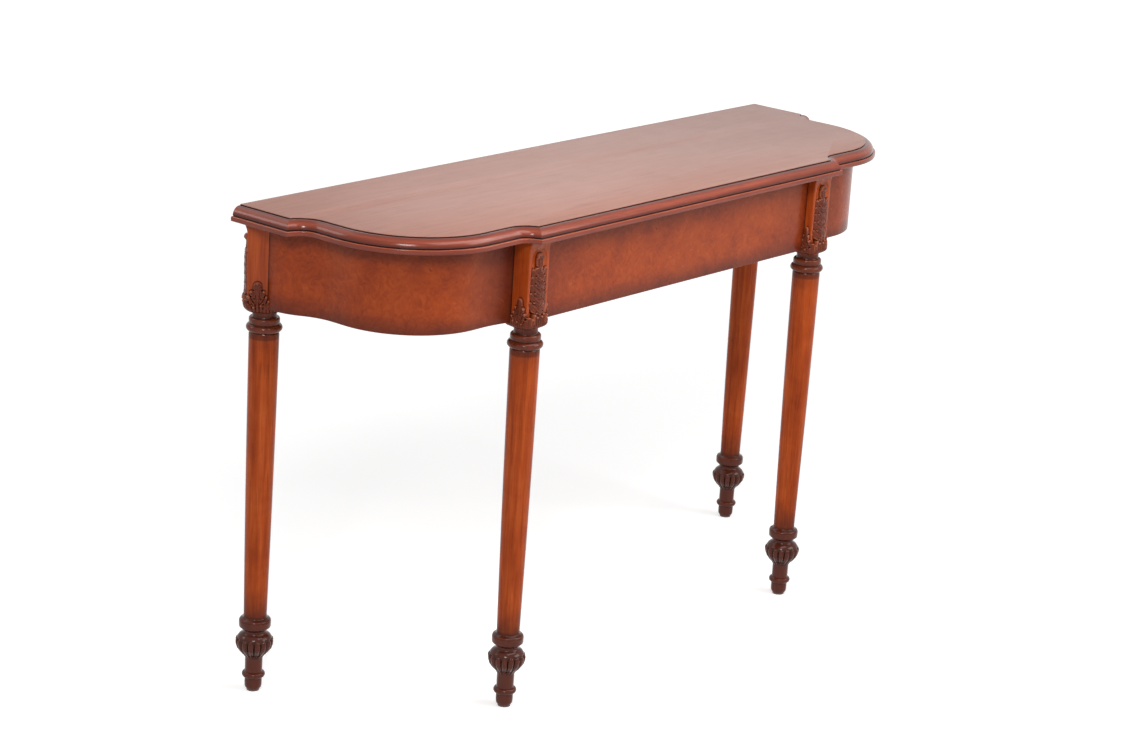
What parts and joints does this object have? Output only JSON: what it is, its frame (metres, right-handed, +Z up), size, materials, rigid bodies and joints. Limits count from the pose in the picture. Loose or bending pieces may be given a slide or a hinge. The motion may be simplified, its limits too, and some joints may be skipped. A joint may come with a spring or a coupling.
{
  "type": "pier table",
  "caption": "Shallow pier table with a shaped, moulded top, veneered serpentine aprons, carved acanthus posts and turned, tapering legs with gadrooned feet.",
  "frame": {"origin": "on the floor, under the middle of the footprint", "axes": "+Z up; +X along the length, to the right seen from the front; the front faces -Y and the straight back edge, which stands at a wall, faces +Y"},
  "size_m": [1.319, 0.376, 0.78],
  "materials": {
    "top_veneer": "satin lacquer",
    "moulding_wood": "gloss lacquer",
    "apron_veneer": "gloss lacquer, darker at the edges",
    "carved_wood": "gloss lacquer, dark in the carving",
    "turned_wood": "gloss lacquer, darker at the ends",
    "frame_wood": "matt, unfinished",
    "steel": "zinc plated",
    "glide_plastic": "matt"
  },
  "bodies": {
    "root": {"back_rail": "frame_wood", "block_front_left": "frame_wood", "block_front_right": "frame_wood", "block_rear_left": "frame_wood", "block_rear_right": "frame_wood", "cross_rail_left": "frame_wood", "cross_rail_right": "frame_wood", "foot_glides": "glide_plastic", "front_apron": "apron_veneer", "hanger_bolts": "steel", "left_apron": "apron_veneer", "leg_front_left": "turned_wood", "leg_front_right": "turned_wood", "leg_rear_left": "turned_wood", "leg_rear_right": "turned_wood", "moulding_front": "moulding_wood", "moulding_left_corner": "moulding_wood", "moulding_left_end": "moulding_wood", "moulding_right_corner": "moulding_wood", "moulding_right_end": "moulding_wood", "post_front_left": "carved_wood", "post_front_right": "carved_wood", "post_rear_left": "carved_wood", "post_rear_right": "carved_wood", "right_apron": "apron_veneer", "top_panel": "top_veneer", "top_screws": "steel"}
  },
  "joints": []
}
